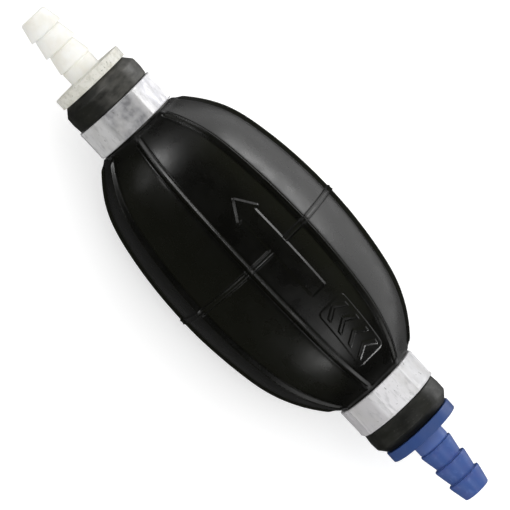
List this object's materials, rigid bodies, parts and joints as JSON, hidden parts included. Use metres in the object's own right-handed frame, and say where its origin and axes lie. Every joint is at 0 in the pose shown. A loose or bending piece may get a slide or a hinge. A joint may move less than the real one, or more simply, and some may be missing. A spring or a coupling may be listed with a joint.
{
  "type": "squeeze-bulb hand pump",
  "caption": "Ribbed rubber squeeze bulb with crimped necks, barbed hose tails and spring-loaded check valves inside.",
  "frame": {"origin": "centre of the bulb, on its axis", "axes": "+X along the axis in the direction of flow, towards the outlet; +Z out through the middle of the panel with the flow arrow"},
  "size_m": [0.1678, 0.049, 0.0491],
  "materials": {
    "bulb_rubber": "satin moulded black rubber",
    "white_plastic": "satin warm white moulded plastic",
    "blue_plastic": "satin blue moulded plastic",
    "crimp_aluminium": "satin drawn aluminium, crimped",
    "acetal": "natural moulded acetal",
    "nitrile": "matte nitrile",
    "spring_steel": "drawn stainless wire"
  },
  "bodies": {
    "root": {"bulb_shell": "bulb_rubber", "inlet_fitting": "blue_plastic", "outlet_fitting": "white_plastic", "inlet_crimp_band": "crimp_aluminium", "outlet_crimp_band": "crimp_aluminium", "inlet_valve_body": "acetal", "inlet_valve_oring": "nitrile", "inlet_valve_cage": "acetal", "inlet_valve_spring": "spring_steel", "outlet_valve_body": "acetal", "outlet_valve_oring": "nitrile", "outlet_valve_cage": "acetal", "outlet_valve_spring": "spring_steel"},
    "thumb_side": {"bulb_thumb_wall": "bulb_rubber"},
    "finger_side": {"bulb_finger_wall": "bulb_rubber"},
    "inlet_valve": {"inlet_poppet": "acetal", "inlet_poppet_seal": "nitrile"},
    "outlet_valve": {"outlet_poppet": "acetal", "outlet_poppet_seal": "nitrile"}
  },
  "joints": [
    {"name": "thumb_squeeze", "type": "slide", "parent": "root", "child": "thumb_side", "axis": [0, 0, -1], "range_m": [0, 0.009], "stiffness_N_per_m": 2500},
    {"name": "finger_squeeze", "type": "slide", "parent": "root", "child": "finger_side", "axis": [0, 0, 1], "range_m": [0, 0.009], "stiffness_N_per_m": 2500},
    {"name": "inlet_valve_lift", "type": "slide", "parent": "root", "child": "inlet_valve", "axis": [1, 0, 0], "range_m": [0, 0.0022], "stiffness_N_per_m": 50, "deforming": ["inlet_valve_spring"]},
    {"name": "outlet_valve_lift", "type": "slide", "parent": "root", "child": "outlet_valve", "axis": [1, 0, 0], "range_m": [0, 0.0022], "stiffness_N_per_m": 50, "deforming": ["outlet_valve_spring"]}
  ],
  "couplings": [
    {"joint": "finger_squeeze", "follows": "thumb_squeeze", "ratio": 1}
  ]
}
